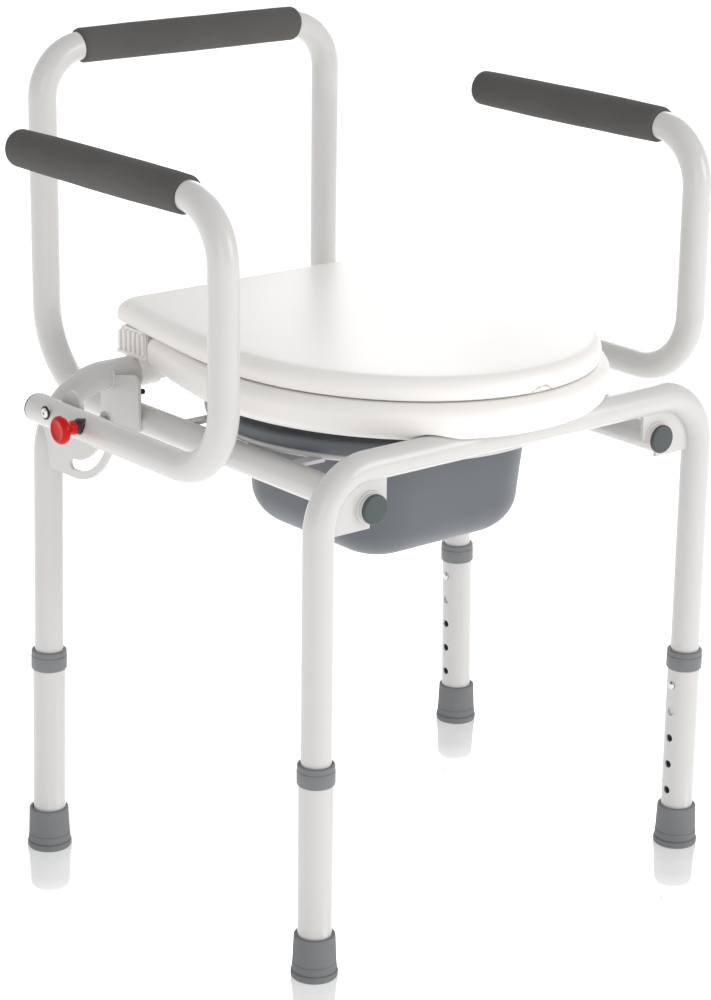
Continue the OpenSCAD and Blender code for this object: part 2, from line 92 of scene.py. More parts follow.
ARM_TOP_Z = 640.0
ARM_TOP_BEND = 50.0
ARM_GRIP_FRONT = 105.0
ARM_GRIP_REAR = 344.0
ARM_TAIL = 32.0
COIL_START = ARM_X - 2.4
COIL_END = ARM_X + 11.3
NUT_START = 234.5
COLLAR_Z = 171.0
TOP_HOLE_Z = 156.1
RING_Z = 444.5
RIM_Z = 437.5
RING_TOP = 467.5
RING_BACK = 323.0
LID_Z = 468.7
LID_TOP = LID_Z + 19
EAR_R = 10.5
LID_BACK = 380.0
HINGE_Y = FRONT_Y + 356
HINGE_Z = LID_Z - 12
PAIL_Y = FRONT_Y + 172
PAIL_Z = 302.0
FLANGE_Z = 412.8
FLANGE_TOP = FLANGE_Z + 11
FLANGE_R = 157.0


# ---------- mesh helpers ----------

def add_mesh(name, points, faces, smooth_angle=40):
    """A mesh object from points in millimetres, smooth below an angle."""
    mesh = bpy.data.meshes.new(name)
    mesh.from_pydata([[c * MM for c in p] for p in points], [], faces)
    mesh.validate()
    obj = bpy.data.objects.new(name, mesh)
    bpy.context.scene.collection.objects.link(obj)
    fix_normals(obj)
    smooth(obj, smooth_angle)
    return obj


def fix_normals(obj):
    """Turns every face of a closed mesh outward."""
    bpy.ops.object.select_all(action="DESELECT")
    bpy.context.view_layer.objects.active = obj
    obj.select_set(True)
    bpy.ops.object.mode_set(mode="EDIT")
    bpy.ops.mesh.select_all(action="SELECT")
    bpy.ops.mesh.normals_make_consistent(inside=False)
    bpy.ops.object.mode_set(mode="OBJECT")


def smooth(obj, angle):
    """Shades smooth, with a sharp edge wherever two faces meet at more than an angle."""
    bpy.ops.object.select_all(action="DESELECT")
    bpy.context.view_layer.objects.active = obj
    obj.select_set(True)
    bpy.ops.object.shade_smooth_by_angle(angle=math.radians(angle))


def join(name, objs):
    """One object from several."""
    bpy.ops.object.select_all(action="DESELECT")
    for obj in objs:
        obj.select_set(True)
    bpy.context.view_layer.objects.active = objs[0]
    bpy.ops.object.join()
    objs[0].name = name
    return objs[0]


def loft(name, rings, cyclic=False, smooth_angle=40):
    """A skin over rings of equally many points. Open ends are closed with a fan."""
    count = len(rings[0])
    points = [p for ring in rings for p in ring]
    faces = []
    last = len(rings) if cyclic else len(rings) - 1
    for i in range(last):
        a = i * count
        b = ((i + 1) % len(rings)) * count
        for k in range(count):
            n = (k + 1) % count
            faces.append((a + k, a + n, b + n, b + k))
    if not cyclic:
        for start in (0, (len(rings) - 1) * count):
            ring = points[start:start + count]
            middle = [sum(p[axis] for p in ring) / count for axis in range(3)]
            points.append(middle)
            hub = len(points) - 1
            for k in range(count):
                faces.append((start + k, start + (k + 1) % count, hub))
    return add_mesh(name, points, faces, smooth_angle)


def turned(profile, place, steps):
    """Rings of a turned shape from (radius, height) pairs. place maps its axis Z into the chair."""
    rings = []
    for radius, height in profile:
        ring = []
        for k in range(steps):
            a = 2 * math.pi * k / steps
            ring.append(place @ Vector((radius * math.cos(a), radius * math.sin(a), height)))
        rings.append(ring)
    return rings


def lathe(name, profile, place, steps=64, smooth_angle=35):
    """A solid turned body, closed at both ends of its profile."""
    return loft(name, turned(profile, place, steps), smooth_angle=smooth_angle)


def hollow_lathe(name, profile, place, steps=64, smooth_angle=35):
    """A turned body with a bore: its profile is a closed loop."""
    return loft(name, turned(profile, place, steps), cyclic=True, smooth_angle=smooth_angle)


def at(x, y, z):
    return Matrix.Translation((x, y, z))


def along_x(x, y, z, side=1):
    """Z of the piece points along X, outward on that side."""
    return at(x, y, z) @ Matrix.Rotation(side * math.pi / 2, 4, "Y")


def along_y(x, y, z, way=1):
    """Z of the piece points along Y."""
    return at(x, y, z) @ Matrix.Rotation(-way * math.pi / 2, 4, "X")


def along_leg(end, side, height):
    """On a leg's axis, at a height along it."""
    if end == "front":
        return at(side * FRONT_HALF, FRONT_Y, height)
    lean = Matrix.Rotation(-side * REAR_LEAN, 4, "Y")
    return at(side * REAR_HALF, REAR_Y, 0) @ lean @ at(0, 0, height)


def arc(cx, cz, radius, a0, a1, steps):
    """Points of a circular arc, in degrees."""
    found = []
    for i in range(steps + 1):
        a = math.radians(a0 + (a1 - a0) * i / steps)
        found.append((cx + radius * math.cos(a), cz + radius * math.sin(a)))
    return found


def box(name, low, high, bevel=0.8):
    """A box between two corners, with rounded edges."""
    points = []
    for x in (low[0], high[0]):
        for y in (low[1], high[1]):
            points += [(x, y, low[2]), (x, y, high[2])]
    faces = [(0, 1, 3, 2), (4, 6, 7, 5), (0, 4, 5, 1), (2, 3, 7, 6), (0, 2, 6, 4), (1, 5, 7, 3)]
    obj = add_mesh(name, points, faces)
    round_edges(obj, bevel)
    return obj


def round_edges(obj, width, segments=3):
    """A bevel on the sharp edges, applied."""
    mod = obj.modifiers.new("round", "BEVEL")
    mod.width = width * MM
    mod.segments = segments
    mod.limit_method = "ANGLE"
    mod.angle_limit = math.radians(40)
    apply(obj, mod)
    smooth(obj, 40)


def apply(obj, mod):
    bpy.context.view_layer.objects.active = obj
    bpy.ops.object.modifier_apply(modifier=mod.name)


def cut(obj, tool):
    """Takes the tool's shape out of the object."""
    mod = obj.modifiers.new("cut", "BOOLEAN")
    mod.operation = "DIFFERENCE"
    mod.solver = "EXACT"
    mod.object = tool
    apply(obj, mod)
    bpy.data.objects.remove(tool)
    smooth(obj, 35)


def slab(name, outline, x, width, bevel=0.6):
    """A plate across X from an outline in Y and Z."""
    near = [(x, p[0], p[1]) for p in outline]
    far = [(x + width, p[0], p[1]) for p in outline]
    count = len(outline)
    faces = [tuple(range(count)), tuple(range(2 * count - 1, count - 1, -1))]
    for k in range(count):
        n = (k + 1) % count
        faces.append((k, n, count + n, count + k))
    obj = add_mesh(name, near + far, faces)
    if bevel:
        round_edges(obj, bevel, 2)
    return obj


def bent_line(corners, radii, gap=30.0):
    """Points and directions along a line of corners, with an arc at each inner corner."""
    corners = [Vector(c) for c in corners]
    found = []

    def straight(a, b):
        way = (b - a).normalized()
        count = max(1, int((b - a).length / gap))
        for i in range(count + 1):
            found.append((a.lerp(b, i / count), way))

    start = corners[0]
    for i in range(1, len(corners) - 1):
        before = (corners[i] - corners[i - 1]).normalized()
        after = (corners[i + 1] - corners[i]).normalized()
        turn = before.angle(after)
        reach = radii[i - 1] * math.tan(turn / 2)
        straight(start, corners[i] - before * reach)
        inward = (after - before * before.dot(after)).normalized()
        centre = corners[i] - before * reach + inward * radii[i - 1]
        count = max(3, int(math.degrees(turn) / 4))
        for k in range(1, count):
            a = turn * k / count
            point = centre - inward * radii[i - 1] * math.cos(a) + before * radii[i - 1] * math.sin(a)
            found.append((point, before * math.cos(a) + inward * math.sin(a)))
        start = corners[i] + after * reach
    straight(start, corners[-1])
    return found


def tube(name, line, outer, bore, steps=48):
    """A hollow tube along a bent line, with softly broken ends."""
    across = line[0][1].orthogonal().normalized()
    stations = []
    for point, way in line:
        across = (across - way * across.dot(way)).normalized()
        stations.append((point, across, way.cross(across), way))
    first = stations[0]
    last = stations[-1]
    rows = [(first[0], first, outer - 0.4), (first[0] + first[3] * 0.4, first, outer)]
    rows += [(row[0], row, outer) for row in stations[1:-1]]
    rows += [(last[0] - last[3] * 0.4, last, outer), (last[0], last, outer - 0.4)]
    rows += [(row[0], row, bore) for row in reversed(stations)]
    rings = []
    for point, row, radius in rows:
        ring = []
        for k in range(steps):
            a = 2 * math.pi * k / steps
            ring.append(point + (row[1] * math.cos(a) + row[2] * math.sin(a)) * radius)
        rings.append(ring)
    return loft(name, rings, cyclic=True, smooth_angle=35)


def round_shading(obj, base, way, radii):
    """Exact round normals on the cylindrical faces of a tube that has been drilled."""
    mesh = obj.data
    normals = []
    way = way.normalized()
    for face in mesh.polygons:
        spots = [mesh.vertices[v].co / MM - base for v in face.vertices]
        outs = [spot - way * spot.dot(way) for spot in spots]
        normals.extend([(0, 0, 0)] * len(outs))
        for radius in radii:
            if all(abs(out.length - radius) < 0.06 for out in outs):
                sign = 1 if face.normal.dot(outs[0] + outs[1]) > 0 else -1
                for k, out in enumerate(outs):
                    normals[k - len(outs)] = tuple(out.normalized() * sign)
    mesh.normals_split_custom_set(normals)


# ---------- procedural materials ----------

def material(name, color, roughness, grain, bump, mottle, metallic=0.0, coat=0.0, wave=0.0, spec=0.5):
    """A finish with patchy tone, patchy gloss, a fine surface grain, and a slow unevenness."""
    mat = bpy.data.materials.new(name)
    mat.use_nodes = True
    tree = mat.node_tree
    shader = tree.nodes["Principled BSDF"]
    shader.inputs["Metallic"].default_value = metallic
    shader.inputs["Specular IOR Level"].default_value = spec
    shader.inputs["Coat Weight"].default_value = coat
    shader.inputs["Coat Roughness"].default_value = 0.12
    where = tree.nodes.new("ShaderNodeTexCoord")

    patches = tree.nodes.new("ShaderNodeTexNoise")
    patches.inputs["Scale"].default_value = 14.0
    patches.inputs["Detail"].default_value = 5.0
    tree.links.new(where.outputs["Object"], patches.inputs["Vector"])

    tone = tree.nodes.new("ShaderNodeValToRGB")
    tone.color_ramp.elements[0].position = 0.3
    tone.color_ramp.elements[1].position = 0.7
    tone.color_ramp.elements[0].color = [c * (1 - mottle) for c in color] + [1]
    tone.color_ramp.elements[1].color = [min(1, c * (1 + mottle)) for c in color] + [1]
    tree.links.new(patches.outputs["Fac"], tone.inputs["Fac"])
    tree.links.new(tone.outputs["Color"], shader.inputs["Base Color"])

    gloss = tree.nodes.new("ShaderNodeMapRange")
    gloss.inputs["To Min"].default_value = max(0.03, roughness - mottle * 0.6)
    gloss.inputs["To Max"].default_value = min(1.0, roughness + mottle * 0.6)
    tree.links.new(patches.outputs["Fac"], gloss.inputs["Value"])
    tree.links.new(gloss.outputs["Result"], shader.inputs["Roughness"])

    fine = tree.nodes.new("ShaderNodeTexNoise")
    fine.inputs["Scale"].default_value = grain
    fine.inputs["Detail"].default_value = 3.0
    tree.links.new(where.outputs["Object"], fine.inputs["Vector"])
    relief = tree.nodes.new("ShaderNodeBump")
    relief.inputs["Strength"].default_value = bump
    relief.inputs["Distance"].default_value = 0.0004
    tree.links.new(fine.outputs["Fac"], relief.inputs["Height"])
    if wave:
        slow = tree.nodes.new("ShaderNodeTexNoise")
        slow.inputs["Scale"].default_value = 22.0
        tree.links.new(where.outputs["Object"], slow.inputs["Vector"])
        swell = tree.nodes.new("ShaderNodeBump")
        swell.inputs["Strength"].default_value = wave
        swell.inputs["Distance"].default_value = 0.002
        tree.links.new(slow.outputs["Fac"], swell.inputs["Height"])
        tree.links.new(swell.outputs["Normal"], relief.inputs["Normal"])
    tree.links.new(relief.outputs["Normal"], shader.inputs["Normal"])
    return mat


FINISH = {
    "white_paint": material(
        "powder_coat", (0.635, 0.622, 0.608), 0.26,
        grain=420, bump=0.035, mottle=0.008, coat=0.25),
    "foam": material(
        "foam", (0.092, 0.087, 0.083), 0.88,
        grain=2400, bump=0.60, mottle=0.12, wave=0.15),
    "collar_plastic": material(
        "collar_grey", (0.178, 0.185, 0.193), 0.46,
        grain=1500, bump=0.14, mottle=0.07),
    "foot_rubber": material(
        "foot_rubber", (0.182, 0.188, 0.196), 0.62,
        grain=1300, bump=0.22, mottle=0.09),
    "cap_plastic": material(
        "cap_grey", (0.060, 0.076, 0.078), 0.50,
        grain=1500, bump=0.15, mottle=0.10),
    "seat_plastic": material(
        "seat_white", (0.925, 0.900, 0.872), 0.36,
        grain=700, bump=0.035, mottle=0.008, wave=0.02),
    "pail_plastic": material(
        "pail_grey", (0.128, 0.140, 0.156), 0.40,
        grain=1200, bump=0.12, mottle=0.06, spec=0.4),
    "knob_plastic": material(
        "knob_red", (0.58, 0.002, 0.003), 0.26,
        grain=900, bump=0.04, mottle=0.06, spec=0.22),
    "black_plastic": material(
        "black_plastic", (0.016, 0.016, 0.016), 0.42,
        grain=1300, bump=0.12, mottle=0.15),
    "black_steel": material(
        "black_oxide", (0.020, 0.020, 0.021), 0.34,
        metallic=0.6, grain=1500, bump=0.15, mottle=0.2),
    "bright_steel": material(
        "bright_steel", (0.70, 0.70, 0.71), 0.16,
        metallic=1.0, grain=1200, bump=0.05, mottle=0.05),
    "plain_steel": material(
        "zinc_steel", (0.56, 0.56, 0.57), 0.36,
        metallic=1.0, grain=1400, bump=0.14, mottle=0.10),
}

for row in frame["record"]["subparts"]:
    node = frame["nodes"][row["node"]]
    node.data.materials.clear()
    node.data.materials.append(FINISH[row["material_slot"]])
    smooth(node, 30)


def dress(obj, slot, *nodes):
    """Gives a piece its finish, and hides the CAD nodes that it stands for."""
    obj.data.materials.clear()
    obj.data.materials.append(FINISH[slot])
    if nodes:
        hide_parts(*nodes)
    return obj


def place(obj, body, slot, *nodes):
    """Dresses a piece and fixes it to its body."""
    dress(obj, slot, *nodes)
    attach(obj, body)
    return obj


# ---------- seat ring and lid ----------

def seat_outline(grow, back):
    """The lid's outline grown all round: a half-ellipse nose, easing sides, round back corners."""
    mid = 172.0
    corner = 18.0
    half = 172.5 + grow
    reach = mid + LID_NOSE + grow
    back_half = 146.0 + grow
    right = []
    for i in range(64):
        t = math.pi / 2 * (1 - i / 64)
        right.append((half * math.cos(t), mid - reach * math.sin(t)))
    for i in range(24):
        t = i / 24
        right.append((half - (half - back_half) * t ** 1.35, mid + (back - corner - mid) * t))
    for i in range(13):
        t = math.pi / 2 * i / 12
        right.append((back_half - corner + corner * math.cos(t), back - corner + corner * math.sin(t)))
    for i in range(1, 13):
        right.append(((back_half - corner) * (1 - i / 12), back))
    left = [(-x, y) for x, y in reversed(right[1:-1])]
    return [(x, y + FRONT_Y) for x, y in right + left]


def level(outline, z):
    return [(x, y, z) for x, y in outline]


def hole_like(outline, grow, z):
    """The seat hole's ellipse, with one point in the direction of each point of the outline."""
    a = 112.0 + grow
    b = 138.0 + grow
    middle = FRONT_Y + 158
    found = []
    for x, y in outline:
        t = math.atan2((y - middle) / b, x / a)
        found.append((a * math.cos(t), middle + b * math.sin(t), z))
    return found


def ear(name, x, width, turn, rest):
    """A hinge ear across X: a round end about the pin, from one angle to another, then the rest."""
    round_end = [(HINGE_Y + y, HINGE_Z + z) for y, z in arc(0, 0, EAR_R, turn[0], turn[1], turn[2])]
    return slab(name, round_end + rest, x, width, 0.8)


def lid_piece():
    rings = []
    for grow, z in ((-36, LID_Z + 2.2), (-34, LID_Z + 0.6), (-32, LID_Z), (-4, LID_Z)):
        rings.append(level(seat_outline(grow, LID_BACK + grow), z))
    for grow, z in arc(-3, LID_Z + 3, 3, -80, 0, 5):
        rings.append(level(seat_outline(grow, LID_BACK + grow), z))
    for grow, z in arc(-12.5, LID_TOP - 12.5, 12.5, 0, 88, 12):
        rings.append(level(seat_outline(grow, LID_BACK + grow), z))
    for grow, rise in ((-22, 0.25), (-40, 0.5), (-70, 0.75), (-105, 0.9)):
        rings.append(level(seat_outline(grow, LID_BACK + grow), LID_TOP + rise))
    lid = loft("lid_shell", rings, smooth_angle=50)
    scoop_profile = arc(0, 0, 10, -90, 90, 24)
    stretch = Matrix.Diagonal((1.0, 0.55, 0.55, 1.0))
    scoop = lathe("scoop", scoop_profile, at(0, FRONT_Y - LID_NOSE, LID_Z) @ stretch)
    cut(lid, scoop)
    parts = [lid]
    for name, side in SIDES:
        rest = [(HINGE_Y + EAR_R, LID_Z + 1), (HINGE_Y - EAR_R, LID_Z + 1)]
        x = 83.5 if side > 0 else -101.0
        parts.append(ear("lid_ear_" + name, x, 17.5, (-180, 0, 20), rest))
    return join("lid_moulding", parts)


def ring_piece():
    outer = RING_PROUD
    rings = []

    def add(grow, z):
        rings.append(level(seat_outline(grow, RING_BACK + grow - outer), z))

    inner_rim = outer - 10
    for grow, z in ((inner_rim - 8, RING_Z), (inner_rim - 0.8, RING_Z), (inner_rim, RING_Z - 0.8)):
        add(grow, z)
    add(inner_rim, RIM_Z + 2)
    add(inner_rim + 0.6, RIM_Z + 0.6)
    for grow, z in arc(outer - 8, RIM_Z + 8, 8, -90, 0, 9):
        add(grow, z)
    for grow, z in arc(outer - 11.5, RING_TOP - 11.5, 11.5, 0, 90, 12):
        add(grow, z)
    add(outer - 22, RING_TOP)
    shape = seat_outline(outer, RING_BACK)
    rings.append(hole_like(shape, 26, RING_TOP - 0.5))
    rings.append(hole_like(shape, 18, RING_TOP - 1.4))
    for grow, z in arc(10, RING_TOP - 12, 10, 90, 180, 9):
        rings.append(hole_like(shape, grow, z))
    rings.append(hole_like(shape, 0, RING_Z + 2.5))
    rings.append(hole_like(shape, 0.8, RING_Z + 0.7))
    rings.append(hole_like(shape, 3, RING_Z))
    rings = [[open_rear(p) for p in ring] for ring in rings]
    ring = loft("ring_shell", rings, cyclic=True, smooth_angle=50)
    channel = [(0.5, -200), (TUBE_R + 1.3, -200), (TUBE_R + 1.3, 200), (0.5, 200)]
    cut(ring, lathe("channel", channel, along_x(0, FRONT_Y, CROSSBAR_Z)))
    parts = [ring]
    for name, side in SIDES:
        start = FRONT_Y + RING_BACK - 6
        rest = [(start, RING_TOP - 0.3), (start, RING_Z + 2)]
        x = 102.5 if side > 0 else -123.5
        parts.append(ear("ring_ear_" + name, x, 21.0, (-75, 90, 18), rest))
    return join("seat_ring_moulding", parts)


def open_rear(p):
    """Ends the rim short of the ring's rear edge, where the pail's flange comes up."""
    x, y, z = p
    if y > FRONT_Y + RING_BACK - 14 and abs(x) < 137:
        z = max(z, RING_Z)
    return (x, y, z)


place(lid_piece(), "lid_flap", "seat_plastic", "lid")
place(ring_piece(), "seat", "seat_plastic", "seat_ring")


def pad(name, x, y, low, high, radius):
    """A round rubber bumper with broken edges."""
    profile = [(radius - 0.6, low), (radius, low + 0.4), (radius, high - 0.4), (radius - 0.6, high)]
    return lathe(name, profile, at(x, y, 0), steps=40)


def pads():
    lid_pads = []
    seat_pads = []
    for name, side in SIDES:
        for number, (x, y) in enumerate(((118, 60), (140, 255))):
            tag = f"lid_pad_{name}_{number}"
            lid_pads.append(pad(tag, side * x, FRONT_Y + y, RING_TOP + 0.3, LID_Z + 1.5, 7))
        top = CROSSBAR_Z + TUBE_R + 0.3
        seat_pads.append(pad("seat_pad_" + name, side * 62, FRONT_Y, top, RING_Z, 9))
    place(join("lid_pads", lid_pads), "lid_flap", "foot_rubber", "lid_bumpers")
    place(join("seat_pads", seat_pads), "seat", "foot_rubber", "seat_bumpers")


pads()

# ---------- pail ----------


def rounded_square(grow):
    """The pail's plan outline, with flat sides between four round corners."""
    centre = 47.0
    radius = 60.0 + grow
    found = []
    for quarter in range(4):
        turn = math.pi / 2 * quarter
        cx = centre * (math.cos(turn) - math.sin(turn))
        cy = centre * (math.sin(turn) + math.cos(turn))
        for i in range(21):
            a = turn + math.pi / 2 * i / 20
            found.append((cx + radius * math.cos(a), cy + radius * math.sin(a)))
        nx = centre * (-math.sin(turn) - math.cos(turn))
        ny = centre * (math.cos(turn) - math.sin(turn))
        end = found[-1]
        edge = turn + math.pi / 2
        start = (nx + radius * math.cos(edge), ny + radius * math.sin(edge))
        for i in range(1, 8):
            t = i / 8
            found.append((end[0] + (start[0] - end[0]) * t, end[1] + (start[1] - end[1]) * t))
    return found


def pail_piece():
    plan = rounded_square(0)
    turn_z = PAIL_Z + 38
    rings = []

    def body(grow, z):
        rings.append([(x, y + PAIL_Y, z) for x, y in rounded_square(grow)])

    def circle(radius, z):
        ring = []
        for x, y in plan:
            a = math.atan2(y, x)
            ring.append((radius * math.cos(a), PAIL_Y + radius * math.sin(a), z))
        rings.append(ring)

    for i in range(12, -1, -1):
        t = math.radians(7.5 * i)
        body(-10 - 44 * (1 - math.cos(t)), turn_z - 38 * math.sin(t))
    for i in range(1, 6):
        body(-10 + 8 * i / 5, turn_z + (FLANGE_TOP - 8 - turn_z) * i / 5)
    body(-0.6, FLANGE_TOP - 4.6)
    body(2.0, FLANGE_TOP - 3)
    circle(FLANGE_R - 5, FLANGE_TOP - 3)
    circle(FLANGE_R - 3.4, FLANGE_TOP - 4)
    circle(FLANGE_R - 3, FLANGE_Z + 0.6)
    circle(FLANGE_R - 2.4, FLANGE_Z)
    circle(FLANGE_R - 0.6, FLANGE_Z)
    circle(FLANGE_R, FLANGE_Z + 0.6)
    for grow, z in arc(FLANGE_R - 3, FLANGE_TOP - 3, 3, 0, 90, 6):
        circle(grow, z)
    circle(FLANGE_R - 12, FLANGE_TOP)
    body(3.0, FLANGE_TOP)
    body(-0.5, FLANGE_TOP - 0.6)
    body(-2.5, FLANGE_TOP - 3)
    for i in range(5, -1, -1):
        body(-12.5 + 8 * i / 5, turn_z + (FLANGE_TOP - 8 - turn_z) * i / 5)
    for i in range(1, 13):
        t = math.radians(7.5 * i)
        body(-12.5 - 43 * (1 - math.cos(t)), turn_z - 35.5 * math.sin(t))
    return loft("pail_moulding", rings, smooth_angle=50)


place(pail_piece(), "pail_bucket", "pail_plastic", "pail")

# ---------- foam grips ----------


def grip(name, path, radius, swell, seed):
    """Foam round a tube. path gives (point, across, up) and the distance run; ends are rounded."""
    steps = 56
    total = path[-1][3]
    rings = []

    def ring(sample, r):
        point, across, up, run = sample
        made = []
        for k in range(steps):
            a = 2 * math.pi * k / steps
            uneven = 0.10 * math.sin(3 * a + run * 0.045 + seed) + 0.07 * math.sin(run * 0.11 + seed * 2)
            made.append(point + (across * math.cos(a) + up * math.sin(a)) * (r + uneven))
        rings.append(made)

    def body_radius(run):
        share = run / total
        full = radius + swell * math.sin(math.pi * share) ** 0.6
        end = min(run, total - run)
        if end < 4:
            full -= 4 - math.sqrt(max(0.0, 16 - (4 - end) ** 2))
        return full

    ring(path[0], TUBE_R + 0.25)
    for sample in path:
        ring(sample, body_radius(sample[3]))
    ring(path[-1], TUBE_R + 0.25)
    return loft(name, rings, smooth_angle=55)


def runs(start, end, steps=14):
    """Distances along a grip, close together at its rounded ends."""
    near = [0, 0.3, 0.9, 1.8, 3.0, 4.0]
    length = end - start
    middle = [4 + (length - 8) * i / steps for i in range(1, steps)]
    return near + middle + [length - n for n in reversed(near)]


def arm_grip(name, side):
    turn_y = POST_Y + ARM_TOP_BEND
    straight = FRONT_Y + ARM_GRIP_REAR - turn_y
    wrap = math.asin((turn_y - FRONT_Y - ARM_GRIP_FRONT) / ARM_TOP_BEND)
    total = straight + ARM_TOP_BEND * wrap
    path = []
    across = Vector((1, 0, 0))
    for run in runs(0, total):
        if run <= straight:
            point = Vector((side * ARM_X, turn_y + straight - run, ARM_TOP_Z))
            up = Vector((0, 0, 1))
        else:
            a = (run - straight) / ARM_TOP_BEND
            middle = Vector((side * ARM_X, turn_y, ARM_TOP_Z - ARM_TOP_BEND))
            up = Vector((0, -math.sin(a), math.cos(a)))
            point = middle + up * ARM_TOP_BEND
        path.append((point, across, up, run))
    return grip("foam_arm_" + name, path, 15.7, 1.1, side + 2.0)


def back_grip():
    straight = RAIL_HALF - BACK_BEND
    wrap = math.asin((BACK_GRIP_HALF - straight) / BACK_BEND)
    bent = BACK_BEND * wrap
    total = 2 * (straight + bent)
    path = []
    across = Vector((0, 1, 0))
    for run in runs(0, total):
        along = run - total / 2
        if abs(along) <= straight:
            point = Vector((along, BACK_Y, BACK_Z))
            up = Vector((0, 0, 1))
        else:
            side = 1 if along > 0 else -1
            a = (abs(along) - straight) / BACK_BEND
            middle = Vector((side * straight, BACK_Y, BACK_Z - BACK_BEND))
            up = Vector((side * math.sin(a), 0, math.cos(a)))
            point = middle + up * BACK_BEND
        path.append((point, across, up, run))
    return grip("foam_back", path, 15.4, 0.4, 0.7)


for side_name, side_way in SIDES:
    foam = arm_grip(side_name, side_way)
    place(foam, "armrest_" + side_name, "foam", "arm_grip_" + side_name)
foam = back_grip()
place(foam, "frame", "foam", "back_grip")

# ---------- legs ----------


def foot_piece(name, end, side):
    """A rubber foot with a flared tread, two grooves and a bore for the leg."""
    bore = TUBE_R + 1.65
    profile = [(0.5, 12), (bore, 12), (bore, 36.5), (bore + 0.5, 38), (16.6, 38)]
    profile += arc(16.0, 36.6, 1.4, 80, 5, 4)
    profile += [(17.9, 24), (18.3, 14.4), (17.9, 13.8), (17.9, 13.2), (18.45, 12.6), (18.9, 7.4)]
    profile += [(18.3, 6.8), (18.3, 6.2), (19.5, 5.6), (19.7, 4.5), (19.7, 1.4), (18.8, 0.2)]
    profile += [(17.2, 0), (0.5, 0)]
    x = side * (FRONT_HALF if end == "front" else REAR_HALF)
    return hollow_lathe(name, profile, at(x, FRONT_Y if end == "front" else REAR_Y, 0))


def collar_piece(name, end, side):
    """A moulded collar that grips the inner tube, with a step and a rounded lip."""
    inner = TUBE_R + 0.3
    bore = TUBE_R + 1.62
    profile = [(bore, 0.4), (bore, 16), (inner, 16.2), (inner, 17.4), (inner + 0.5, 18)]
    profile += arc(14.2, 16.6, 1.4, 90, 0, 5)
    profile += [(15.6, 13.6), (15.3, 13.2), (15.3, 12.8), (15.8, 12.3), (15.8, 1.2), (15.3, 0.3), (14.8, 0)]
    return hollow_lathe(name, profile, along_leg(end, side, COLLAR_Z))


for end in ENDS:
    for side_name, side_way in SIDES:
        tag = f"{end}_{side_name}"
        piece = foot_piece("rubber_foot_" + tag, end, side_way)
        place(piece, "leg_unit_" + tag, "foot_rubber", "foot_" + tag)
        piece = collar_piece("grip_collar_" + tag, end, side_way)
        place(piece, "leg_unit_" + tag, "collar_plastic", "collar_" + tag)

# ---------- caps ----------


def cap_piece(name, radius, spigot, plug, matrix):
    """A tube plug with a softly domed head."""
    profile = [(spigot, -plug), (spigot, 0), (radius - 0.3, 0), (radius, 0.4), (radius, 2.0)]
    profile += arc(radius - 1.8, 2.0, 1.8, 20, 90, 5)
    profile += [(radius * 0.6, 4.1), (radius * 0.3, 4.3), (0.4, 4.35)]
    return lathe(name, profile, matrix)


rail_caps = []
for side_name, side_way in SIDES:
    seat = along_y(side_way * RAIL_HALF, FRONT_Y - 6, RAIL_Z, -1)
    rail_caps.append(cap_piece("rail_cap_" + side_name, TUBE_R - 0.3, TUBE_R - 1.6, 12, seat))
    seat = along_y(side_way * ARM_X, PIVOT_Y + ARM_TAIL, ARM_LOW_Z, 1)
    profile = [(11.1, -10), (11.1, 0), (12.3, 0), (12.5, 0.4)]
    profile += arc(11.0, 0.9, 1.5, 0, 90, 5) + [(5, 2.6), (0.4, 2.7)]
    piece = lathe("tail_cap_" + side_name, profile, seat)
    place(piece, "armrest_" + side_name, "cap_plastic", "arm_cap_" + side_name)
place(join("rail_caps", rail_caps), "frame", "cap_plastic", "rail_end_caps")

# ---------- arm locks and pivots ----------


def pin_piece(name, side):
    """The steel pin that runs in the latch plate."""
    tip = 241.5
    profile = [(0.4, tip), (4.0, tip), (4.3, tip + 0.4), (4.3, ARM_X - 3), (3.2, ARM_X - 2.9)]
    profile += [(3.2, ARM_X + 17), (0.4, ARM_X + 17)]
    return lathe(name, profile, along_x(0, LOCK_Y, PIVOT_Z, side))


def knob_piece(name, side):
    """A mushroom knob on its stem."""
    base = ARM_X + TUBE_R + 4.3
    profile = [(0.4, base), (5.6, base), (6.1, base + 0.5), (6.0, base + 2.4), (5.5, base + 4.2)]
    profile += [(5.6, base + 6.4), (6.6, base + 8.2), (9.4, base + 9.9), (11.3, base + 11.0)]
    profile += [(12.0, base + 12.3)]
    profile += arc(8.6, base + 14.1, 3.4, 0, 90, 7)
    profile += [(7.8, base + 17.35), (6.6, base + 16.8), (3, base + 16.6), (0.4, base + 16.6)]
    return lathe(name, profile, along_x(0, LOCK_Y, PIVOT_Z, side))


def housing_piece(name, side):
    """The black guide bush in the arm, with a stepped flange."""
    face = ARM_X + TUBE_R
    profile = [(3.35, ARM_X + 12), (5.1, ARM_X + 12), (5.1, ARM_X + 2), (6, ARM_X + 2), (6, face - 2.6)]
    profile += [(6.5, face - 2.6), (6.8, face - 2.2), (6.8, face + 0.5), (6.5, face + 0.9), (6.0, face + 1.0)]
    profile += [(5.8, face + 3.5), (5.4, face + 4.0), (3.35, face + 4.0)]
    return hollow_lathe(name, profile, along_x(0, LOCK_Y, PIVOT_Z, side))


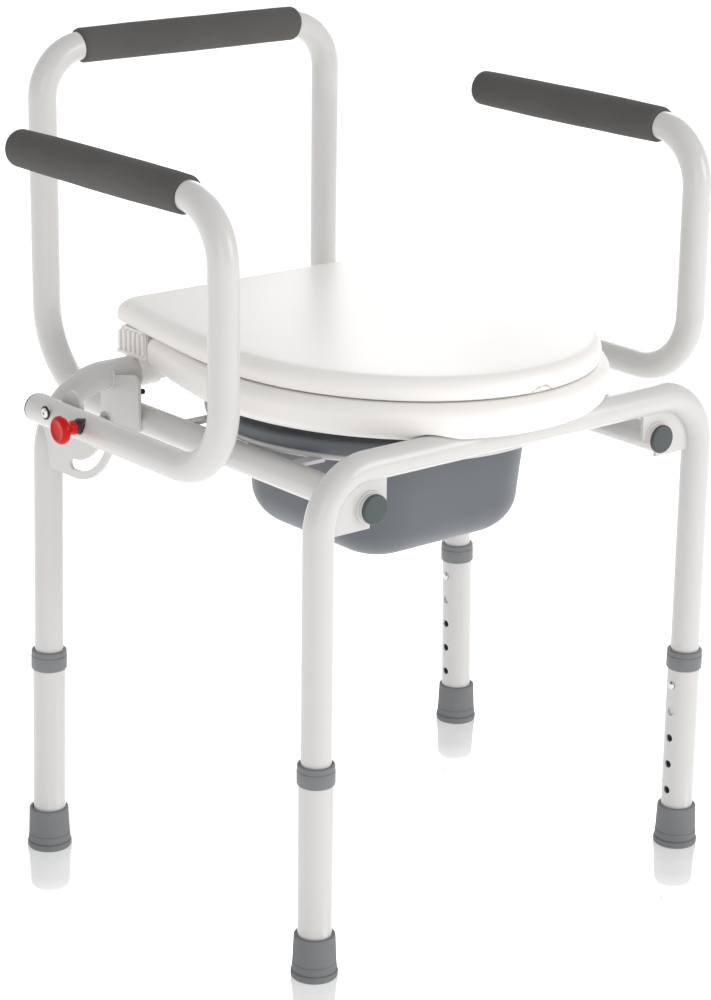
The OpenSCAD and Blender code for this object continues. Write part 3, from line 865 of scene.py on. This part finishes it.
def coil_piece(name, side):
    """The lock's coil spring."""
    turns = 7
    per_turn = 24
    count = turns * per_turn
    wire = 0.45
    radius = 4.15
    matrix = along_x(0, LOCK_Y, PIVOT_Z, side)
    rings = []
    for i in range(count + 1):
        a = 2 * math.pi * i / per_turn
        height = COIL_START + (COIL_END - COIL_START) * i / count
        out = Vector((math.cos(a), math.sin(a), 0))
        middle = out * radius + Vector((0, 0, height))
        ring = []
        for k in range(8):
            b = 2 * math.pi * k / 8
            ring.append(matrix @ (middle + out * wire * math.cos(b) + Vector((0, 0, wire * math.sin(b)))))
        rings.append(ring)
    return loft(name, rings)


def bolt_piece(name, side):
    """The pivot bolt: a low button head with a hexagon socket, a shank and a nut."""
    face = ARM_X + TUBE_R
    matrix = along_x(0, PIVOT_Y, PIVOT_Z, side)
    shank = [(0.4, NUT_START), (4.0, NUT_START), (4.0, face + 0.3), (4.4, face + 0.3), (4.5, face + 0.8)]
    shank += [(4.1, face + 1.5), (3.2, face + 1.9), (0.4, face + 2.0)]
    head = lathe(name, shank, matrix, steps=48)
    socket = lathe("socket", [(2.0, face + 0.4), (2.0, face + 3)], matrix, steps=6)
    cut(head, socket)
    low = NUT_START + 1.1
    nut = [(5.6, low), (6.6, low + 0.7), (6.6, low + 4.6), (5.6, low + 5.3)]
    return join(name, [head, lathe("pivot_nut", nut, matrix, steps=6)])


def washer_piece(name, side):
    """The dark washer under the pivot bolt's head, cupped to the tube."""
    face = ARM_X + TUBE_R
    profile = [(4.05, face - 0.9), (5.6, face - 0.9), (6.0, face - 0.5), (5.9, face + 0.4), (5.5, face + 0.8)]
    profile += [(4.6, face + 0.9), (4.05, face + 0.5)]
    return hollow_lathe(name, profile, along_x(0, PIVOT_Y, PIVOT_Z, side))


for side_name, side_way in SIDES:
    piece = knob_piece("pull_knob_" + side_name, side_way)
    place(piece, "lock_" + side_name, "knob_plastic", "lock_knob_" + side_name)
    piece = pin_piece("lock_pin_" + side_name, side_way)
    place(piece, "lock_" + side_name, "plain_steel")
    piece = housing_piece("guide_bush_" + side_name, side_way)
    place(piece, "armrest_" + side_name, "black_plastic", "lock_housing_" + side_name)
    piece = coil_piece("coil_" + side_name, side_way)
    dress(piece, "plain_steel", "lock_spring_" + side_name)
    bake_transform(piece)
    piece = bolt_piece("pivot_bolt_" + side_name, side_way)
    place(piece, "armrest_" + side_name, "bright_steel", "arm_pivot_" + side_name)
    piece = washer_piece("pivot_washer_" + side_name, side_way)
    place(piece, "armrest_" + side_name, "black_steel")

# ---------- hinge ----------


def hinge_piece():
    """The two ribbed blocks that clamp the hinge to the rear crossbar."""
    parts = []
    front = REAR_Y - 17
    rear = HINGE_Y + 8.9
    top = HINGE_Z + 10.8
    floor_z = CROSSBAR_Z + 15
    for name, side in SIDES:
        outer = side * 148.0
        inner = side * 124.0
        low = min(inner, outer)
        high = max(inner, outer)
        crown = [(rear - 8 + y, top - 8 + z) for y, z in arc(0, 0, 8, 0, 90, 10)]
        outline = [(front, floor_z - 1), (rear, floor_z - 1)] + crown + [(front, top)]
        face = outer - side * 2.2
        parts.append(slab("hinge_core_" + name, outline, min(inner, face), abs(face - inner), 0.7))
        plate_low = (min(face, outer), front, top - 3.2)
        plate_high = (max(face, outer), rear - 7, top)
        parts.append(box("hinge_top_" + name, plate_low, plate_high, 0.5))
        base_low = (low - 1.2, front - 1.4, floor_z - 3)
        base_high = (high + 1.2, rear, floor_z)
        parts.append(box("hinge_base_" + name, base_low, base_high, 0.7))
        for number in range(6):
            y = front + 0.2 + 7 * number
            rib_low = (min(face, outer), y, floor_z - 0.5)
            rib_high = (max(face, outer), min(y + 3.1, rear - 0.3), top - 1.5 - (4 if number == 5 else 0))
            parts.append(box(f"hinge_rib_{name}_{number}", rib_low, rib_high, 0.4))
        for number in range(3):
            x = low + 2.0 + 8.2 * number
            rib_low = (x, front - 1.2, floor_z - 0.5)
            rib_high = (x + 3.4, front + 0.5, top - 2)
            parts.append(box(f"hinge_face_{name}_{number}", rib_low, rib_high, 0.4))
        profile = [(TUBE_R + 0.05, -11), (TUBE_R + 0.05, 11), (TUBE_R + 2.2, 11), (TUBE_R + 2.7, 10.5)]
        profile += [(TUBE_R + 2.7, -10.5), (TUBE_R + 2.2, -11)]
        matrix = along_x(side * 136, REAR_Y, CROSSBAR_Z, 1)
        parts.append(hollow_lathe("hinge_strap_" + name, profile, matrix))
    return join("hinge_moulding", parts)


place(hinge_piece(), "frame", "seat_plastic", "hinge_blocks")

# ---------- weld beads and screws ----------


def bead(name, matrix, radius, thick, a0=0.0, a1=360.0, seed=0.0):
    """A weld bead round a tube, with the slight ripple of a hand-laid seam."""
    count = max(12, int(96 * (a1 - a0) / 360))
    closed = abs(a1 - a0 - 360) < 1e-6
    rings = []
    for i in range(count if closed else count + 1):
        a = math.radians(a0 + (a1 - a0) * i / count)
        out = Vector((math.cos(a), math.sin(a), 0))
        size = thick * (1 + 0.10 * math.sin(i * 1.9 + seed))
        ring = []
        for k in range(10):
            b = 2 * math.pi * k / 10
            ring.append(matrix @ (out * (radius + size * math.cos(b)) + Vector((0, 0, size * math.sin(b)))))
        rings.append(ring)
    return loft(name, rings, cyclic=closed, smooth_angle=70)


beads = []
for side_name, side_way in SIDES:
    for number, y in enumerate((FRONT_Y - 1.6, FRONT_Y + 1.6)):
        seat = along_y(side_way * RAIL_HALF, y, RAIL_Z)
        from_a, to_a = (188, 442) if side_way > 0 else (98, 352)
        beads.append(bead(f"rail_bead_{side_name}_{number}", seat, TUBE_R + 0.1, 1.5, from_a, to_a, number))
    seat = along_x(side_way * (RAIL_HALF + TUBE_R + 3.2), REAR_Y, CROSSBAR_Z, side_way)
    from_a, to_a = (240, 455) if side_way > 0 else (85, 300)
    beads.append(bead("saddle_bead_" + side_name, seat, TUBE_R + 0.2, 1.5, from_a, to_a, 2.0))
    # the painted end of the plate's screw, flush with the outer face
    seat = along_x(0, SCREW_Y, SCREW_Z, side_way)
    face = RAIL_HALF + TUBE_R + 2.6
    profile = [(0.4, face), (2.6, face), (2.6, face + 0.45), (0.4, face + 0.7)]
    beads.append(lathe("screw_end_" + side_name, profile, seat))
place(join("weld_beads", beads), "frame", "white_paint")

screws = []
for side_name, side_way in SIDES:
    plate = RAIL_HALF + TUBE_R
    matrix = along_x(0, SCREW_Y, SCREW_Z, side_way)
    profile = [(0.4, RAIL_HALF + 4), (2.2, RAIL_HALF + 4.2), (2.5, RAIL_HALF + 4.8), (2.5, plate + 2.5)]
    profile += [(0.4, plate + 2.5)]
    screws.append(lathe("screw_" + side_name, profile, matrix, steps=32))
    nut = [(2.9, plate - 4.2), (3.4, plate - 3.7), (3.4, plate - 0.4), (3.1, plate)]
    screws.append(lathe("screw_nut_" + side_name, nut, matrix, steps=6))
place(join("plate_screws", screws), "frame", "black_steel", "bracket_screws")

# ---------- tubes ----------


def hoop_tube(name, end):
    """An upside-down U of tube: two legs and a crossbar."""
    half = FRONT_HALF if end == "front" else REAR_HALF
    lean = 0.0 if end == "front" else REAR_LEAN
    y = FRONT_Y if end == "front" else REAR_Y
    bend = FRONT_BEND if end == "front" else REAR_BEND
    low_z = TOP_HOLE_Z - 1.5 * HOLE_PITCH
    low_x = half - low_z * math.tan(lean)
    top_x = half - CROSSBAR_Z * math.tan(lean)
    corners = [(-low_x, y, low_z), (-top_x, y, CROSSBAR_Z), (top_x, y, CROSSBAR_Z), (low_x, y, low_z)]
    return tube(name, bent_line(corners, (bend, bend)), TUBE_R, BORE_R)


def back_tube():
    """The rails and the backrest, bent from one tube."""
    start = FRONT_Y - 6
    corners = [(-RAIL_HALF, start, RAIL_Z), (-RAIL_HALF, BACK_Y, RAIL_Z), (-RAIL_HALF, BACK_Y, BACK_Z)]
    corners += [(-x, y, z) for x, y, z in reversed(corners)]
    radii = (RAIL_BEND, BACK_BEND, BACK_BEND, RAIL_BEND)
    return tube("rails_and_backrest", bent_line(corners, radii), TUBE_R, BORE_R)


def arm_tube(name, side):
    """An armrest's tube: the low run, the post and the top run."""
    x = side * ARM_X
    tail = PIVOT_Y + ARM_TAIL
    top_end = FRONT_Y + ARM_GRIP_REAR - 5
    corners = [(x, tail, ARM_LOW_Z), (x, POST_Y, ARM_LOW_Z)]
    corners += [(x, POST_Y, ARM_TOP_Z), (x, top_end, ARM_TOP_Z)]
    return tube("arm_tube_" + name, bent_line(corners, (ARM_LOW_BEND, ARM_TOP_BEND)), TUBE_R, BORE_R)


def lower_leg(name, end, side):
    """The outer tube of a telescopic leg, drilled five times on its inner side."""
    matrix = along_leg(end, side, 0)
    base = matrix @ Vector((0, 0, 0))
    way = (matrix @ Vector((0, 0, 1)) - base).normalized()
    low = base + way * LEG_FOOT_Z
    high = base + way * LEG_TOP_Z
    leg = tube(name, bent_line((low, high), ()), LEG_R, LEG_BORE, steps=64)
    for number in range(5):
        hole = matrix @ at(0, 0, TOP_HOLE_Z - number * HOLE_PITCH)
        hole = hole @ Matrix.Rotation(-side * math.pi / 2, 4, "Y")
        cut(leg, lathe("drill", [(HOLE_R, 2), (HOLE_R, 20)], hole, steps=32))
    round_shading(leg, base, way, (LEG_R, LEG_BORE))
    return leg


for end in ENDS:
    place(hoop_tube(end + "_hoop", end), "frame", "white_paint", end + "_frame")
place(back_tube(), "frame", "white_paint", "back_frame")
for side_name, side_way in SIDES:
    place(arm_tube(side_name, side_way), "armrest_" + side_name, "white_paint", "arm_" + side_name)
    for end in ENDS:
        tag = f"{end}_{side_name}"
        piece = lower_leg("drilled_leg_" + tag, end, side_way)
        place(piece, "leg_unit_" + tag, "white_paint", "leg_" + tag)

# ---------- studio ----------


def floor_material():
    """A lit white table, polished round each foot so that the foot is mirrored and fades away."""
    mat = bpy.data.materials.new("studio_floor")
    mat.use_nodes = True
    tree = mat.node_tree
    shader = tree.nodes["Principled BSDF"]
    noise = tree.nodes.new("ShaderNodeTexNoise")
    noise.inputs["Scale"].default_value = 3.0
    ramp = tree.nodes.new("ShaderNodeValToRGB")
    ramp.color_ramp.elements[0].color = (0.84, 0.84, 0.84, 1)
    ramp.color_ramp.elements[1].color = (0.86, 0.86, 0.86, 1)
    tree.links.new(noise.outputs["Fac"], ramp.inputs["Fac"])
    tree.links.new(ramp.outputs["Color"], shader.inputs["Base Color"])
    shader.inputs["Roughness"].default_value = 0.5
    shader.inputs["Emission Color"].default_value = (1, 1, 1, 1)
    shader.inputs["Emission Strength"].default_value = 0.62

    where = tree.nodes.new("ShaderNodeTexCoord")
    nearest = None
    for _, side in SIDES:
        for half, y in ((FRONT_HALF, FRONT_Y), (REAR_HALF, REAR_Y)):
            span = tree.nodes.new("ShaderNodeVectorMath")
            span.operation = "DISTANCE"
            span.inputs[1].default_value = (side * half * MM, y * MM, 0)
            tree.links.new(where.outputs["Object"], span.inputs[0])
            found = span.outputs["Value"]
            if nearest is not None:
                lower = tree.nodes.new("ShaderNodeMath")
                lower.operation = "MINIMUM"
                tree.links.new(nearest, lower.inputs[0])
                tree.links.new(found, lower.inputs[1])
                found = lower.outputs["Value"]
            nearest = found
    fade = tree.nodes.new("ShaderNodeMapRange")
    fade.inputs["From Min"].default_value = 0.07
    fade.inputs["From Max"].default_value = 0.20
    fade.inputs["To Min"].default_value = 1.0
    fade.inputs["To Max"].default_value = 0.0
    tree.links.new(nearest, fade.inputs["Value"])
    mirror = tree.nodes.new("ShaderNodeBsdfGlossy")
    mirror.inputs["Roughness"].default_value = 0.04
    mirror.inputs["Color"].default_value = (1, 1, 1, 1)
    blend = tree.nodes.new("ShaderNodeMixShader")
    slant = tree.nodes.new("ShaderNodeLayerWeight")
    slant.inputs["Blend"].default_value = 0.5
    weight = tree.nodes.new("ShaderNodeMath")
    weight.operation = "MULTIPLY"
    tree.links.new(fade.outputs["Result"], weight.inputs[0])
    tree.links.new(slant.outputs["Facing"], weight.inputs[1])
    tree.links.new(weight.outputs["Value"], blend.inputs["Fac"])
    tree.links.new(shader.outputs["BSDF"], blend.inputs[1])
    lit = tree.nodes.new("ShaderNodeEmission")
    lit.inputs["Strength"].default_value = 0.17
    both = tree.nodes.new("ShaderNodeAddShader")
    tree.links.new(mirror.outputs["BSDF"], both.inputs[0])
    tree.links.new(lit.outputs["Emission"], both.inputs[1])
    tree.links.new(both.outputs["Shader"], blend.inputs[2])
    tree.links.new(blend.outputs["Shader"], tree.nodes["Material Output"].inputs["Surface"])
    return mat


bpy.ops.mesh.primitive_plane_add(size=60, location=(0, 0, 0))
floor = bpy.context.object
floor.name = "floor"
floor.data.materials.append(floor_material())


def studio_light(name, spot, aim, size, power, tint=(1, 1, 1)):
    data = bpy.data.lights.new(name, "AREA")
    data.shape = "RECTANGLE"
    data.size = size[0]
    data.size_y = size[1]
    data.energy = power
    data.color = tint
    obj = bpy.data.objects.new(name, data)
    obj.location = spot
    obj.rotation_mode = "QUATERNION"
    obj.rotation_quaternion = (Vector(aim) - Vector(spot)).to_track_quat("-Z", "Y")
    bpy.context.scene.collection.objects.link(obj)
    return obj


studio_light("key", (1.9, -3.2, 1.7), (0, 0, 0.45), (1.8, 1.8), 39, (1.0, 0.99, 0.975))
studio_light("fill", (-2.4, -2.6, 1.3), (0, 0, 0.45), (1.6, 1.6), 10)
studio_light("rim", (2.4, 2.2, 1.6), (0, 0, 0.5), (1.4, 2.0), 17)

world = bpy.data.worlds.new("studio")
bpy.context.scene.world = world
world.use_nodes = True
sky = world.node_tree.nodes["Background"]
way = world.node_tree.nodes.new("ShaderNodeTexCoord")
facing = world.node_tree.nodes.new("ShaderNodeVectorMath")
facing.operation = "DOT_PRODUCT"
facing.inputs[1].default_value = (0.64, 0.77, 0.0)
shade = world.node_tree.nodes.new("ShaderNodeMapRange")
shade.inputs["From Min"].default_value = -0.8
shade.inputs["From Max"].default_value = 0.7
shade.inputs["To Min"].default_value = 0.56
shade.inputs["To Max"].default_value = 0.80
world.node_tree.links.new(way.outputs["Generated"], facing.inputs[0])
world.node_tree.links.new(facing.outputs["Value"], shade.inputs["Value"])
world.node_tree.links.new(shade.outputs["Result"], sky.inputs["Strength"])
sky.inputs["Color"].default_value = (1.0, 1.0, 1.0, 1)

camera_data = bpy.data.cameras.new("camera")
camera = bpy.data.objects.new("camera", camera_data)
bpy.context.scene.collection.objects.link(camera)
right = Vector((0.77411, -0.63291, 0.01315))
up = Vector((0.18707, 0.24855, 0.95038))
back = Vector((-0.60478, -0.73324, 0.31081))
camera.matrix_world = Matrix((right, up, back)).transposed().to_4x4()
camera.location = (-1.48919, -1.59497 + FRONT_Y * MM, 1.08002)
camera_data.sensor_fit = "VERTICAL"
camera_data.sensor_height = 36
camera_data.sensor_width = 36
camera_data.lens = 99.48
bpy.context.scene.camera = camera
bpy.context.scene.view_settings.view_transform = "Standard"
